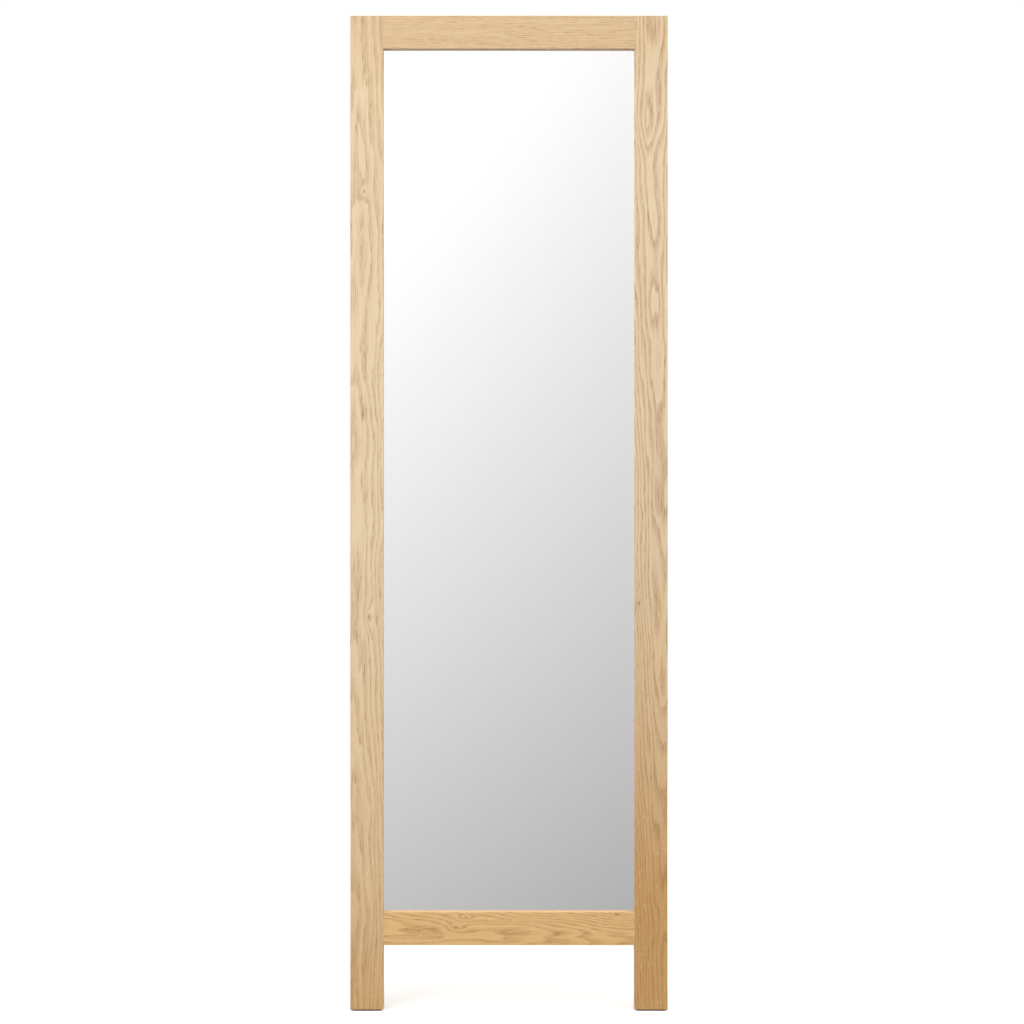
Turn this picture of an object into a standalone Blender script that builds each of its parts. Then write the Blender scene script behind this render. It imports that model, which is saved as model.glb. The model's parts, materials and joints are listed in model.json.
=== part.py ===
"""A free-standing floor mirror: an oak frame round a plain mirror, leaning back on a hinged rear
stand that two folding stays hold open. It is modelled open, as it stands in use. Metres, +Z up,
the mirror faces -Y, and the origin is on the floor under the middle of the object."""

from math import acos, atan2, cos, hypot, pi, radians, sin, tan

import bmesh
import bpy
from mathutils import Matrix, Vector

MM = 0.001

# Overall size, with the stand open.
WIDTH = 480 * MM
HEIGHT = 1500 * MM
DEPTH = 465 * MM
LEAN = radians(5.0)  # the mirror frame leans back by this
GAP = 0.3 * MM  # left between pieces that touch

# Oak stock of the mirror frame.
FACE = 50 * MM  # face width of stiles and rails
STOCK = 28 * MM  # their thickness
FOOT_RISE = 100 * MM  # from the floor to the bottom rail, along the face
LIP = 10 * MM  # wood left in front of the glass
GLASS_STEP = 7 * MM  # how far the glass pocket reaches behind the lip
BOARD_STEP = 16 * MM  # how far the wider pocket of the backing board reaches
BOARD_SHELF = 21 * MM  # depth of the shelf that the backing board lies on
TENON = (40 * MM, 8 * MM, 22 * MM)  # loose tenon: length, thickness, width
TENON_FROM_EDGE = 32 * MM  # its middle, from the rail's edge at the glass

# What fills the frame.
GLASS_THICKNESS = 4 * MM
GLASS_PLAY = 1.5 * MM  # round the glass in its pocket
BOARD_THICKNESS = 4 * MM
BOARD_PLAY = 0.8 * MM
FOAM_WIDTH = 15 * MM

# Feet.
PAD_THICKNESS = 2.2 * MM
SOLE = PAD_THICKNESS + GAP  # height at which the legs are sawn off level
PAD_INSET = 3 * MM

# Rear stand.
LEG_WIDTH = 26 * MM
LEG_DEPTH = 28 * MM
LEG_TOP = 10 * MM  # above the hinge axis
HINGE_HEIGHT = 1130 * MM  # from the floor, along the mirror frame
BARREL_RADIUS = 3 * MM
AXIS_OFF = BARREL_RADIUS + GAP  # from the hinge axis to the wood on either side
BAR_HEIGHT = 40 * MM
BAR_DEPTH = 20 * MM
BAR_DROPS = {"upper": 55 * MM, "lower": 930 * MM}  # hinge axis to the middle of each crossbar
STUB = (12 * MM, 8 * MM, 28 * MM)  # tenon on a crossbar's end: length, thickness, width

# Hinges.
LEAF_WIDTH = 24 * MM
LEAF_DROP = 26 * MM
LEAF_THICKNESS = 1.5 * MM
MIDDLE_KNUCKLE = 8.8 * MM
KNUCKLE_GAP = 0.4 * MM
PIN_RADIUS = 1.4 * MM
SCREW_SPOTS = ((-6.5 * MM, -12 * MM), (6.5 * MM, -19 * MM))  # on a leaf, across and down

# Folding stays. Distances across are from the middle of the object to a piece's inner side.
EAR_AT = 204 * MM
EAR_THICKNESS = 2 * MM
FOOT_REACH = 32 * MM
FOOT_THICKNESS = 1.6 * MM
BRACKET_HEIGHT = 18 * MM
BRACKET_SCREWS_AT = (214 * MM, 228 * MM)
FRONT_ARM_AT = EAR_AT + EAR_THICKNESS + GAP
ARM_THICKNESS = 1.8 * MM
ARM_WIDTH = 14 * MM
REAR_ARM_AT = FRONT_ARM_AT + ARM_THICKNESS + 1.6 * MM
RIVET_RADIUS = 2 * MM
RIVET_HEAD = 4 * MM
HEAD_THICKNESS = 0.9 * MM
FRONT_PIVOT = Vector((0, 10 * MM, -700 * MM))  # from the hinge axis, in the mirror frame
REAR_PIVOT = Vector((0, AXIS_OFF + LEG_DEPTH / 2, -675 * MM))  # in the rear frame

# Screws: head radius, shank radius and length.
WOOD_SCREW = (2.8 * MM, 1.3 * MM, 14 * MM)
PAN_SCREW = (3 * MM, 1.3 * MM, 13 * MM)
COUNTERSINK = 1.4 * MM
PAN_HEAD = 1.8 * MM
ROUND_SIDES = 16

# Worked out from the above.
SLOPE = HEIGHT / cos(LEAN)  # length of the face, floor to top edge
OPENING_HALF = WIDTH / 2 - FACE
OPENING_LOW = FOOT_RISE + FACE
OPENING_HIGH = SLOPE - FACE
LEG_INNER = WIDTH / 2 - LEG_WIDTH
LEAF_AT = WIDTH / 2 - LEG_WIDTH / 2

OAK = ((0.70, 0.52, 0.33), 0.55, 0.0)
SILVERED_GLASS = ((0.90, 0.92, 0.91), 0.02, 1.0)
HARDBOARD = ((0.30, 0.19, 0.11), 0.80, 0.0)
FOAM = ((0.80, 0.80, 0.78), 0.90, 0.0)
FELT = ((0.16, 0.13, 0.11), 0.95, 0.0)
STEEL = ((0.62, 0.61, 0.58), 0.35, 1.0)
BEECH = ((0.66, 0.45, 0.28), 0.60, 0.0)


def clear_scene():
    for obj in list(bpy.data.objects):
        bpy.data.objects.remove(obj)


def new_collection(name):
    made = bpy.data.collections.new(name)
    bpy.context.scene.collection.children.link(made)
    return made


clear_scene()
PARTS = new_collection("floor_mirror")
CUTTERS = new_collection("cutters")


def empty(name, parent=None, location=(0, 0, 0), tilt=0.0):
    """A frame to hang pieces on, turned by tilt about the crosswise axis."""
    made = bpy.data.objects.new(name, None)
    PARTS.objects.link(made)
    made.parent = parent
    made.location = location
    made.rotation_euler.x = tilt
    return made


def new_object(name, mesh, parent, finish):
    """A piece with its finish or, where finish is None, a hidden tool that cuts or joins."""
    made = bpy.data.objects.new(name, mesh)
    made.parent = parent
    if finish is None:
        CUTTERS.objects.link(made)
        made.hide_render = True
        made.display_type = "WIRE"
        return made
    PARTS.objects.link(made)
    colour, roughness, metallic = finish
    material = bpy.data.materials.new(name)
    material.use_nodes = True
    shader = material.node_tree.nodes["Principled BSDF"]
    shader.inputs["Base Color"].default_value = (*colour, 1.0)
    shader.inputs["Roughness"].default_value = roughness
    shader.inputs["Metallic"].default_value = metallic
    mesh.materials.append(material)
    return made


def block(name, low, high, parent=None, finish=None, axis=None, radius=0.0, where=None):
    """A block between two corners of its parent's frame. Its edges along axis are rounded, or only
    those whose middle, measured from the block's own, passes where."""
    size = Vector(abs(b - a) for a, b in zip(low, high))
    bm = bmesh.new()
    bmesh.ops.create_cube(bm, size=1.0)
    bmesh.ops.scale(bm, vec=size, verts=bm.verts)
    if axis is not None:
        chosen = [
            edge
            for edge in bm.edges
            if abs((edge.verts[1].co - edge.verts[0].co)[axis]) > size[axis] / 2
            and (where is None or where((edge.verts[0].co + edge.verts[1].co) / 2))
        ]
        bmesh.ops.bevel(bm, geom=chosen, offset=radius, segments=6, affect="EDGES", profile=0.5)
    mesh = bpy.data.meshes.new(name)
    bm.to_mesh(mesh)
    bm.free()
    made = new_object(name, mesh, parent, finish)
    made.location = (Vector(low) + Vector(high)) / 2
    return made


def extruded(name, outline, low, high, parent=None, finish=None):
    """A closed outline of (y, z) points, run crosswise from low to high."""
    bm = bmesh.new()
    face = bm.faces.new([bm.verts.new((low, y, z)) for y, z in outline])
    made = bmesh.ops.extrude_face_region(bm, geom=[face])["geom"]
    moved = [item for item in made if isinstance(item, bmesh.types.BMVert)]
    bmesh.ops.translate(bm, vec=(high - low, 0, 0), verts=moved)
    bmesh.ops.recalc_face_normals(bm, faces=bm.faces)
    mesh = bpy.data.meshes.new(name)
    bm.to_mesh(mesh)
    bm.free()
    return new_object(name, mesh, parent, finish)


def turned(name, outline, towards, parent=None, finish=None, location=(0, 0, 0)):
    """A round piece from (radius, height) points that run down its outer side, with its top
    towards a direction."""
    bm = bmesh.new()
    points = [bm.verts.new((radius, 0, height)) for radius, height in outline]
    for first, second in zip(points, points[1:]):
        bm.edges.new((first, second))
    mesh = bpy.data.meshes.new(name)
    bm.to_mesh(mesh)
    bm.free()
    made = new_object(name, mesh, parent, finish)
    made.location = location
    made.rotation_euler = Vector(towards).to_track_quat("Z", "Y").to_euler()
    screw = made.modifiers.new("turn", "SCREW")
    screw.steps = screw.render_steps = ROUND_SIDES
    screw.use_merge_vertices = True
    screw.merge_threshold = 0.00001
    screw.use_smooth_shade = True
    return made


def rod(name, radius, start, end, parent=None, finish=None):
    """A plain round bar between two points."""
    along = Vector(end) - Vector(start)
    outline = [(0, along.length), (radius, along.length), (radius, 0), (0, 0)]
    return turned(name, outline, along, parent, finish, start)


def boolean(piece, tool, operation):
    made = piece.modifiers.new(tool.name, "BOOLEAN")
    made.operation = operation
    made.object = tool
    made.solver = "EXACT"


def cut(piece, *tools):
    for tool in tools:
        boolean(piece, tool, "DIFFERENCE")


def join(piece, *tools):
    for tool in tools:
        boolean(piece, tool, "UNION")


def saw_level(piece):
    """Saws a leg off level, just above its pad."""
    to_world = piece.parent.matrix_basis @ piece.matrix_basis
    bm = bmesh.new()
    bm.from_mesh(piece.data)
    bmesh.ops.bisect_plane(
        bm,
        geom=bm.verts[:] + bm.edges[:] + bm.faces[:],
        plane_co=to_world.inverted() @ Vector((0, 0, SOLE)),
        plane_no=to_world.to_3x3().inverted() @ Vector((0, 0, 1)),
        clear_inner=True,
    )
    bmesh.ops.holes_fill(bm, edges=[edge for edge in bm.edges if edge.is_boundary])
    bm.to_mesh(piece.data)
    bm.free()


def wood_screw(name, parent, at, towards, pieces):
    """A countersunk screw with its head flush at a point, and its clearance in some pieces."""
    head, shank, length = WOOD_SCREW
    tip = 4 * MM
    outline = [(0, 0), (head, 0), (shank, -COUNTERSINK), (shank, tip - length), (0, -length)]
    turned(name, outline, towards, parent, STEEL, at)
    above = 1 * MM
    room = [(0, above), (head + GAP, above), (head + GAP, -GAP)]
    room += [(shank + GAP, -COUNTERSINK - GAP), (shank + GAP, -length - GAP), (0, -length - GAP)]
    tool = turned(name + "_clearance", room, towards, parent, None, at)
    for piece in pieces:
        cut(piece, tool)


def pan_screw(name, parent, at, towards, pieces):
    """A screw whose domed head stands on the surface at a point."""
    head, shank, length = PAN_SCREW
    tip = 4 * MM
    outline = [(0, GAP + PAN_HEAD), (0.6 * head, GAP + 0.93 * PAN_HEAD)]
    outline += [(head, GAP + 0.5 * PAN_HEAD), (head, GAP), (shank, GAP)]
    outline += [(shank, tip - length), (0, -length)]
    turned(name, outline, towards, parent, STEEL, at)
    tool = rod(
        name + "_clearance",
        shank + GAP,
        Vector(at) + Vector(towards) * MM,
        Vector(at) - Vector(towards) * (length + GAP),
        parent,
    )
    for piece in pieces:
        cut(piece, tool)


# The frames that the pieces hang on. The face of the mirror frame, run on down, meets the floor at
# the origin of its own frame, and the sawn front edge of the feet stands at the front of the base.
tilt = empty("mirror_frame_tilt", None, (0, -DEPTH / 2 - SOLE * tan(LEAN), 0), -LEAN)
hinge_line = empty("hinge_line", tilt, (0, STOCK + AXIS_OFF, HINGE_HEIGHT))
HINGE_AT = tilt.matrix_basis @ Vector((0, STOCK + AXIS_OFF, HINGE_HEIGHT))


def rear_tilt():
    """How far the rear frame slopes, so that its back corner stands at the back of the base."""
    reach = DEPTH / 2 - HINGE_AT.y
    fall = HINGE_AT.z - SOLE
    return acos((AXIS_OFF + LEG_DEPTH) / hypot(reach, fall)) - atan2(fall, reach)


REAR_TILT = rear_tilt()
SPREAD = REAR_TILT + LEAN  # angle between the two frames, open
rear_fold = empty("rear_fold", None, HINGE_AT, REAR_TILT)


def mirror_frame():
    """Two full-height stiles that end in the front feet, and two rails between them."""
    pieces = {}
    for side, name in ((-1, "left"), (1, "right")):
        stile = block(
            "stile_" + name,
            (side * OPENING_HALF, 0, -FACE),
            (side * WIDTH / 2, STOCK, SLOPE),
            tilt,
            OAK,
        )
        saw_level(stile)
        pieces[name] = stile
    rails = {"bottom": FOOT_RISE, "top": OPENING_HIGH}
    for name, low in rails.items():
        pieces[name] = block(
            name + "_rail",
            (-OPENING_HALF + GAP, 0, low),
            (OPENING_HALF - GAP, STOCK, low + FACE),
            tilt,
            OAK,
        )
    pockets = [
        block(
            name + "_pocket",
            (-OPENING_HALF - step, depth, OPENING_LOW - step),
            (OPENING_HALF + step, STOCK + 5 * MM, OPENING_HIGH + step),
            tilt,
        )
        for name, step, depth in (("glass", GLASS_STEP, LIP), ("board", BOARD_STEP, BOARD_SHELF))
    ]
    for piece in pieces.values():
        cut(piece, *pockets)
    for side, name in ((-1, "left"), (1, "right")):
        for rail, middle in (
            ("bottom", OPENING_LOW - TENON_FROM_EDGE),
            ("top", OPENING_HIGH + TENON_FROM_EDGE),
        ):
            loose_tenon(f"loose_tenon_{rail}_{name}", side, middle, (pieces[name], pieces[rail]))
    return pieces


def loose_tenon(name, side, middle, pieces):
    """A round-edged slip of beech across the joint of a rail and a stile, and its mortises."""
    half = Vector(TENON) / 2
    centre = Vector((side * OPENING_HALF, STOCK / 2, middle))
    block(name, centre - half, centre + half, tilt, BEECH, 0, 0.48 * TENON[1])
    room = half + Vector((GAP, GAP, GAP))
    mortise = block(name + "_mortise", centre - room, centre + room, tilt, None, 0, 0.48 * TENON[1])
    for piece in pieces:
        cut(piece, mortise)


def filling(pieces):
    """The mirror glass, the foam behind its edges, and the screwed backing board."""
    reach = GLASS_STEP - GLASS_PLAY
    front = LIP + GAP
    back = front + GLASS_THICKNESS
    across = OPENING_HALF + reach
    low, high = OPENING_LOW - reach, OPENING_HIGH + reach
    block("mirror_glass", (-across, front, low), (across, back, high), tilt, SILVERED_GLASS)
    foam_front, foam_back = back + GAP, BOARD_SHELF
    for side, name in ((-1, "left"), (1, "right")):
        block(
            "foam_strip_" + name,
            (side * (across - FOAM_WIDTH), foam_front, low),
            (side * across, foam_back, high),
            tilt,
            FOAM,
        )
    inner = across - FOAM_WIDTH - GAP
    for name, edge, width in (("bottom", low, FOAM_WIDTH), ("top", high, -FOAM_WIDTH)):
        block(
            "foam_strip_" + name,
            (-inner, foam_front, edge),
            (inner, foam_back, edge + width),
            tilt,
            FOAM,
        )
    reach = BOARD_STEP - BOARD_PLAY
    board = block(
        "backing_board",
        (-OPENING_HALF - reach, BOARD_SHELF + GAP, OPENING_LOW - reach),
        (OPENING_HALF + reach, BOARD_SHELF + GAP + BOARD_THICKNESS, OPENING_HIGH + reach),
        tilt,
        HARDBOARD,
    )
    backing_screws(board, pieces)


def backing_screws(board, pieces):
    """Screws up each stile and one in the middle of each rail, on the middle of the shelf."""
    on_shelf = (GLASS_STEP + BOARD_STEP) / 2
    middle = (OPENING_LOW + OPENING_HIGH) / 2
    pitch = (OPENING_HIGH - OPENING_LOW) * 0.42
    spots = [
        (side * (OPENING_HALF + on_shelf), middle + pitch * step, name)
        for side, name in ((-1, "left"), (1, "right"))
        for step in (-1, 0, 1)
    ]
    spots += [(0, OPENING_LOW - on_shelf, "bottom"), (0, OPENING_HIGH + on_shelf, "top")]
    face = BOARD_SHELF + GAP + BOARD_THICKNESS
    for number, (across, up, name) in enumerate(spots, 1):
        pan_screw(
            f"backing_screw_{number}", tilt, (across, face, up), (0, 1, 0), (board, pieces[name])
        )


def foot_pads():
    """Felt pads, a little smaller than the sawn feet that they are glued under."""
    back_of_front = -DEPTH / 2 + STOCK / cos(LEAN)
    front_of_rear = DEPTH / 2 - LEG_DEPTH / cos(REAR_TILT)
    for side, name in ((-1, "left"), (1, "right")):
        for where, inner, front, back in (
            ("front", OPENING_HALF, -DEPTH / 2, back_of_front),
            ("rear", LEG_INNER, front_of_rear, DEPTH / 2),
        ):
            block(
                f"{where}_foot_pad_{name}",
                (side * (inner + PAD_INSET), front + PAD_INSET, 0),
                (side * (WIDTH / 2 - PAD_INSET), back - PAD_INSET, PAD_THICKNESS),
                None,
                FELT,
                2,
                3 * MM,
            )


def rear_frame():
    """Two slim legs and two crossbars, whose stub tenons sit in the legs."""
    pieces = {}
    for side, name in ((-1, "left"), (1, "right")):
        leg = block(
            "rear_leg_" + name,
            (side * LEG_INNER, AXIS_OFF, -HEIGHT),
            (side * WIDTH / 2, AXIS_OFF + LEG_DEPTH, LEG_TOP),
            rear_fold,
            OAK,
        )
        saw_level(leg)
        pieces[name] = leg
    for name, drop in BAR_DROPS.items():
        crossbar(name, drop, pieces.values())
    return pieces


def crossbar(name, drop, legs):
    centre = Vector((0, AXIS_OFF + LEG_DEPTH / 2, -drop))
    half = Vector((LEG_INNER - GAP, BAR_DEPTH / 2, BAR_HEIGHT / 2))
    bar = block(
        f"rear_crossbar_{name}", centre - half, centre + half, rear_fold, OAK, 0, 2 * MM
    )
    length, thickness, width = STUB
    half = Vector((LEG_INNER + length, thickness / 2, width / 2))
    join(bar, block(f"stub_tenons_{name}", centre - half, centre + half, rear_fold))
    room = half + Vector((GAP, GAP, GAP))
    mortise = block(f"stub_mortises_{name}", centre - room, centre + room, rear_fold)
    for leg in legs:
        cut(leg, mortise)


def leaf_outline(towards):
    """A leaf rolled into a barrel round the hinge axis, seen from the side."""
    inner = BARREL_RADIUS - LEAF_THICKNESS
    meets = 2 * pi - acos(inner / BARREL_RADIUS)
    steps = 20
    turns = [meets * step / steps for step in range(steps + 1)]
    outline = [(inner, -LEAF_DROP), (BARREL_RADIUS, -LEAF_DROP)]
    outline += [(BARREL_RADIUS * cos(turn), BARREL_RADIUS * sin(turn)) for turn in turns]
    return [(towards * y, z) for y, z in outline]


def hinge(side, name, stile, leg):
    """A steel butt hinge: the front leaf has the outer knuckles, the rear leaf the middle one."""
    middle = side * LEAF_AT
    half = LEAF_WIDTH / 2
    inner = MIDDLE_KNUCKLE / 2
    outer = inner + KNUCKLE_GAP
    for where, parent, towards, windows, wood in (
        ("front", hinge_line, -1, [(-outer, outer)], stile),
        ("rear", rear_fold, 1, [(-half - MM, -inner), (inner, half + MM)], leg),
    ):
        title = f"hinge_leaf_{where}_{name}"
        leaf = extruded(
            title, leaf_outline(towards), middle - half, middle + half, parent, STEEL
        )
        clear = BARREL_RADIUS + KNUCKLE_GAP
        for low, high in windows:
            window = block(
                title + "_window", (middle + low, -clear, -clear), (middle + high, clear, clear), parent
            )
            cut(leaf, window)
        ends = (middle - half - MM, 0, 0), (middle + half + MM, 0, 0)
        cut(leaf, rod(title + "_bore", PIN_RADIUS + GAP, *ends, parent))
        face = towards * (BARREL_RADIUS - LEAF_THICKNESS)
        for number, (across, down) in enumerate(SCREW_SPOTS, 1):
            wood_screw(
                f"hinge_screw_{where}_{name}_{number}",
                parent,
                (middle + across, face, down),
                (0, -towards, 0),
                (leaf, wood),
            )
    ends = (middle - half + GAP, 0, 0), (middle + half - GAP, 0, 0)
    rod("hinge_pin_" + name, PIN_RADIUS, *ends, hinge_line, STEEL)


def stay_lengths():
    """The lengths of the front and rear arms, and how far the open stay rises. Open, the arms lie
    in one line. Folded, the front arm lies straight up along the mirror frame."""
    opened = Matrix.Rotation(SPREAD, 3, "X") @ REAR_PIVOT - FRONT_PIVOT
    folded = REAR_PIVOT - FRONT_PIVOT
    whole = opened.length
    front = (whole**2 - folded.length**2) / (2 * (whole - folded.z))
    return front, whole - front, atan2(opened.z, opened.y)


def stay_arm(name, at, side, length, parent, room):
    """A flat bar with round ends, from its pivot at the parent's origin to its elbow."""
    end = ARM_WIDTH / 2
    arm = block(
        name,
        (side * at, -end, -end),
        (side * (at + ARM_THICKNESS), length + end, end),
        parent,
        STEEL,
        0,
        0.98 * end,
    )
    for number, (place, radius) in enumerate(zip((0, length), room), 1):
        ends = (side * (at - MM), place, 0), (side * (at + ARM_THICKNESS + MM), place, 0)
        cut(arm, rod(f"{name}_hole_{number}", radius, *ends, parent))
    return arm


def rivet(name, parent, along, outline):
    """A turned rivet or shoulder screw on a pivot, its head towards the middle of the object."""
    return turned(name, outline, (-along, 0, 0), parent, STEEL)


def stay(side, name, stile, leg):
    """An angle bracket on the stile, two arms that meet at an elbow, and a screw in the leg."""
    front_length, rear_length, rise = stay_lengths()
    hole = RIVET_RADIUS + GAP
    pivot = empty("stay_front_pivot_" + name, hinge_line, FRONT_PIVOT)
    bracket = block(
        "stay_bracket_" + name,
        (side * EAR_AT, -FRONT_PIVOT.y - BARREL_RADIUS, -BRACKET_HEIGHT / 2),
        (side * (EAR_AT + EAR_THICKNESS), 0.42 * BRACKET_HEIGHT, BRACKET_HEIGHT / 2),
        pivot,
        STEEL,
        0,
        0.4 * BRACKET_HEIGHT,
        lambda middle: middle.y > 0,
    )
    foot_back = FOOT_THICKNESS - FRONT_PIVOT.y - BARREL_RADIUS
    foot = block(
        f"stay_bracket_{name}_foot",
        (side * (EAR_AT + MM), -FRONT_PIVOT.y - BARREL_RADIUS, -BRACKET_HEIGHT / 2),
        (side * (EAR_AT + FOOT_REACH), foot_back, BRACKET_HEIGHT / 2),
        pivot,
    )
    join(bracket, foot)
    ends = (side * (EAR_AT - MM), 0, 0), (side * (EAR_AT + EAR_THICKNESS + MM), 0, 0)
    cut(bracket, rod(f"stay_bracket_{name}_hole", hole, *ends, pivot))
    for number, across in enumerate(BRACKET_SCREWS_AT, 1):
        wood_screw(
            f"stay_bracket_screw_{name}_{number}",
            pivot,
            (side * across, foot_back, 0),
            (0, 1, 0),
            (bracket, stile),
        )

    front_turn = empty("stay_front_turn_" + name, pivot, (0, 0, 0), rise)
    stay_arm(
        "stay_front_arm_" + name, FRONT_ARM_AT, side, front_length, front_turn, (hole, hole)
    )
    rear_turn = empty("stay_rear_turn_" + name, rear_fold, REAR_PIVOT, pi + rise - SPREAD)
    rear_arm = stay_arm(
        "stay_rear_arm_" + name, REAR_ARM_AT, side, rear_length, rear_turn, (hole, hole)
    )
    # The elbow's far rivet head is formed on the rear arm, and plugs its hole.
    outer = REAR_ARM_AT + ARM_THICKNESS
    ends = (side * REAR_ARM_AT, rear_length, 0), (side * outer, rear_length, 0)
    join(rear_arm, rod(f"stay_elbow_plug_{name}", hole + GAP, *ends, rear_turn))
    ends = (side * (outer - GAP), rear_length, 0), (side * (outer + HEAD_THICKNESS), rear_length, 0)
    join(rear_arm, rod(f"stay_elbow_cap_{name}", RIVET_HEAD, *ends, rear_turn))

    arm_back = FRONT_ARM_AT + ARM_THICKNESS
    # Front pivot: heads inside the ear and outside the front arm.
    through = [(0, -EAR_AT + GAP + HEAD_THICKNESS), (RIVET_HEAD, -EAR_AT + GAP + HEAD_THICKNESS)]
    through += [(RIVET_HEAD, -EAR_AT + GAP), (RIVET_RADIUS, -EAR_AT + GAP)]
    through += [(RIVET_RADIUS, -arm_back - GAP), (RIVET_HEAD, -arm_back - GAP)]
    through += [(RIVET_HEAD, -arm_back - GAP - HEAD_THICKNESS), (0, -arm_back - GAP - HEAD_THICKNESS)]
    rivet("stay_pivot_rivet_" + name, pivot, side, through)
    # Elbow: a head inside the front arm and a washer between the arms.
    elbow = empty("stay_elbow_" + name, front_turn, (0, front_length, 0))
    head_in = -FRONT_ARM_AT + GAP
    half = [(0, head_in + HEAD_THICKNESS), (RIVET_HEAD, head_in + HEAD_THICKNESS)]
    half += [(RIVET_HEAD, head_in), (RIVET_RADIUS, head_in), (RIVET_RADIUS, -arm_back - GAP)]
    half += [(RIVET_HEAD, -arm_back - GAP), (RIVET_HEAD, -REAR_ARM_AT + GAP)]
    half += [(0, -REAR_ARM_AT + GAP)]
    rivet("stay_elbow_rivet_" + name, elbow, side, half)
    # Rear pivot: a shoulder screw whose collar holds the arm off the leg.
    collar_end = -LEG_INNER + GAP
    head_in = -REAR_ARM_AT + GAP
    shoulder = [(0, head_in + HEAD_THICKNESS), (RIVET_HEAD, head_in + HEAD_THICKNESS)]
    shoulder += [(RIVET_HEAD, head_in), (RIVET_RADIUS, head_in), (RIVET_RADIUS, -outer - GAP)]
    shoulder += [(RIVET_HEAD, -outer - GAP), (RIVET_HEAD, collar_end), (RIVET_RADIUS, collar_end)]
    shoulder += [(RIVET_RADIUS, -LEG_INNER - 12 * MM), (0, -LEG_INNER - 15 * MM)]
    screw_seat = empty("stay_leg_pivot_" + name, rear_fold, REAR_PIVOT)
    rivet("stay_leg_screw_" + name, screw_seat, side, shoulder)
    ends = (side * (LEG_INNER - MM), 0, 0), (side * (LEG_INNER + 15 * MM + GAP), 0, 0)
    cut(leg, rod(f"stay_leg_screw_{name}_clearance", hole, *ends, screw_seat))


frame_pieces = mirror_frame()
filling(frame_pieces)
foot_pads()
rear_pieces = rear_frame()
for side_sign, side_name in ((-1, "left"), (1, "right")):
    hinge(side_sign, side_name, frame_pieces[side_name], rear_pieces[side_name])
    stay(side_sign, side_name, frame_pieces[side_name], rear_pieces[side_name])
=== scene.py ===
"""Looks of a free-standing floor mirror: a flat-sawn oak frame round plain silvered glass, leaning
back on a hinged oak stand with two folding steel stays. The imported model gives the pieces' sizes
and places. The script softens the edges, cuts the pockets, rolls the hinges, and gives each board
its own run of grain."""

import json
from collections import namedtuple
from functools import partial
from math import acos, atan, atan2, cos, pi, radians, sin

import bmesh
import bpy
from bpy.props import FloatProperty, FloatVectorProperty, IntProperty, PointerProperty
from mathutils import Euler, Matrix, Vector


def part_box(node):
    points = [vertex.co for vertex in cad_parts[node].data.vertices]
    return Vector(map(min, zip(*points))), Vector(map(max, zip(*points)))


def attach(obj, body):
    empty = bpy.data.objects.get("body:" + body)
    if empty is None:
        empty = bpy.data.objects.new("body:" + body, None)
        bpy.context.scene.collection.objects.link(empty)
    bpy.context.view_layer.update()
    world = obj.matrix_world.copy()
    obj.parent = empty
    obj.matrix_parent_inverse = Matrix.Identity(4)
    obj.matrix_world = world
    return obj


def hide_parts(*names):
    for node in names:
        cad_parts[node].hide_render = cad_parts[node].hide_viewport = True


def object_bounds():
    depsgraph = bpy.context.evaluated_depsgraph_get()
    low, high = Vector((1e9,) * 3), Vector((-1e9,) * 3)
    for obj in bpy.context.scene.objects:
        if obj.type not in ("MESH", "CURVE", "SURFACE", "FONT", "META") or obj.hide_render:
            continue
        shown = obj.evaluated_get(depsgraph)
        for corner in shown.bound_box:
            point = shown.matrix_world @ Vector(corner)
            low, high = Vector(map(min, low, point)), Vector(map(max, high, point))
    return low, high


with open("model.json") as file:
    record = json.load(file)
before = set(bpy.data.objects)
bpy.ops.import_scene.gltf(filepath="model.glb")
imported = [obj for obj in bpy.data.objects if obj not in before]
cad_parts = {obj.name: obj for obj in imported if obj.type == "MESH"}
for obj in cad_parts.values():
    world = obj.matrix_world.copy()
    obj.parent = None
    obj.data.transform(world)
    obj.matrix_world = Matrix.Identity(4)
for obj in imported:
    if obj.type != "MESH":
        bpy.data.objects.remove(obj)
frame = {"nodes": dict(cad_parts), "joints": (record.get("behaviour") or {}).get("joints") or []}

bl_info = {
    "name": "Oak Floor Mirror",
    "version": (1, 0, 0),
    "blender": (4, 5, 0),
    "location": "3D View > Sidebar > Floor Mirror",
    "description": "Makes a floor mirror with a folding oak stand, piece by piece",
    "category": "Add Mesh",
}

MM = 0.001
CAD_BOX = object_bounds()
NODES = frame["nodes"]
SIDES = (("left", -1), ("right", 1))
GAP = 0.3 * MM  # kept between pieces that touch
GLASS_PLAY = 1.5 * MM  # round the glass in its pocket
JOINT = 0.6 * MM  # that a rail runs into the stiles, so that its glued joint closes
BOARD_PLAY = 0.8 * MM  # round the backing board in its pocket
ROUND_STEPS = 40  # sides of a turned piece
CUT_PAST = 5 * MM  # that a pocket's tool stands out of the wood
SPARE = 20 * MM  # that a board is longer than its foot before it is sawn
LEAF = 1.5 * MM  # sheet of a hinge leaf
KNUCKLE = 4.4 * MM  # half the front leaf's knuckle, along the pin
HINGE_GAP = 0.4 * MM  # between one leaf's knuckle and the other's window
PIN_GAP = 0.1 * MM  # round the pin in its bore
ARM_HALF = 7 * MM  # half the width of a stay's arm
HOLE = 2.3 * MM  # radius of the holes in it
REAR_SHEET = (209.7 * MM, 211.5 * MM)  # inner and outer side of a rear arm, from the middle
# Radius of a rivet's shank and head, and thickness of the head.
RIVET = {"shank": 2 * MM, "head": 4 * MM, "thick": 0.9 * MM}

MATH = "ShaderNodeMath"
VECTOR = "ShaderNodeVectorMath"
RAMP = "ShaderNodeMapRange"
MIX = "ShaderNodeMix"


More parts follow.
